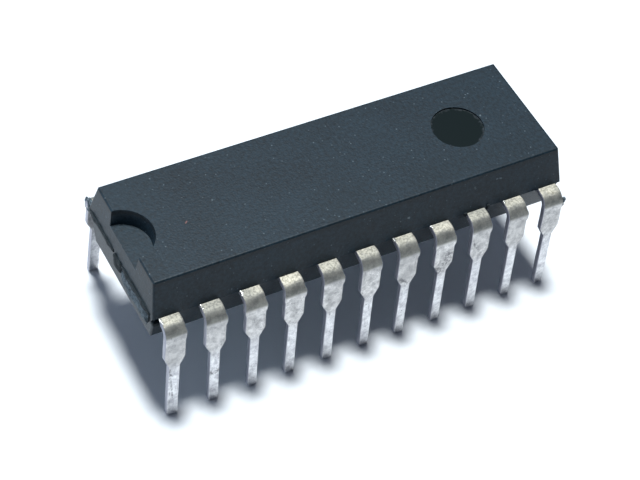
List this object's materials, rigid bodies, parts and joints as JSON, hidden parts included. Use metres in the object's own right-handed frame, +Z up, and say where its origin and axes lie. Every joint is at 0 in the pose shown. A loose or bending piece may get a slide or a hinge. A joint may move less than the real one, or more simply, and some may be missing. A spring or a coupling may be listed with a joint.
{
  "type": "dual in-line integrated circuit",
  "caption": "Dual in-line integrated circuit in a shrink package: drafted moulded body with an end notch, and two rows of bent, tinned through-hole leads.",
  "frame": {"origin": "middle of the plane through the lead tips, under the middle of the body", "axes": "+X along the body, away from the notched end; +Y across the rows, away from the row of lead 1; +Z up through the body"},
  "size_m": [0.0192, 0.0086, 0.007],
  "materials": {
    "moulding_compound": "moulded epoxy compound with a fine spark-eroded grain",
    "tin_plate": "matte electroplated tin, smeared bright at the bends",
    "lead_frame_copper": "bare rolled copper alloy",
    "silver_epoxy": "cured adhesive filled with silver flakes",
    "silicon": "polished silicon with sawn edges",
    "gold_wire": "drawn gold wire"
  },
  "bodies": {
    "root": {"moulded_body": "moulding_compound", "die_pad": "lead_frame_copper", "die_attach": "silver_epoxy", "silicon_die": "silicon", "lead_01": "tin_plate", "lead_02": "tin_plate", "lead_03": "tin_plate", "lead_04": "tin_plate", "lead_05": "tin_plate", "lead_06": "tin_plate", "lead_07": "tin_plate", "lead_08": "tin_plate", "lead_09": "tin_plate", "lead_10": "tin_plate", "lead_11": "tin_plate", "lead_12": "tin_plate", "lead_13": "tin_plate", "lead_14": "tin_plate", "lead_15": "tin_plate", "lead_16": "tin_plate", "lead_17": "tin_plate", "lead_18": "tin_plate", "lead_19": "tin_plate", "lead_20": "tin_plate", "lead_21": "tin_plate", "lead_22": "tin_plate", "bond_wire_01": "gold_wire", "bond_wire_02": "gold_wire", "bond_wire_03": "gold_wire", "bond_wire_04": "gold_wire", "bond_wire_05": "gold_wire", "bond_wire_06": "gold_wire", "bond_wire_07": "gold_wire", "bond_wire_08": "gold_wire", "bond_wire_09": "gold_wire", "bond_wire_10": "gold_wire", "bond_wire_11": "gold_wire", "bond_wire_12": "gold_wire", "bond_wire_13": "gold_wire", "bond_wire_14": "gold_wire", "bond_wire_15": "gold_wire", "bond_wire_16": "gold_wire", "bond_wire_17": "gold_wire", "bond_wire_18": "gold_wire", "bond_wire_19": "gold_wire", "bond_wire_20": "gold_wire", "bond_wire_21": "gold_wire", "bond_wire_22": "gold_wire"}
  },
  "joints": []
}
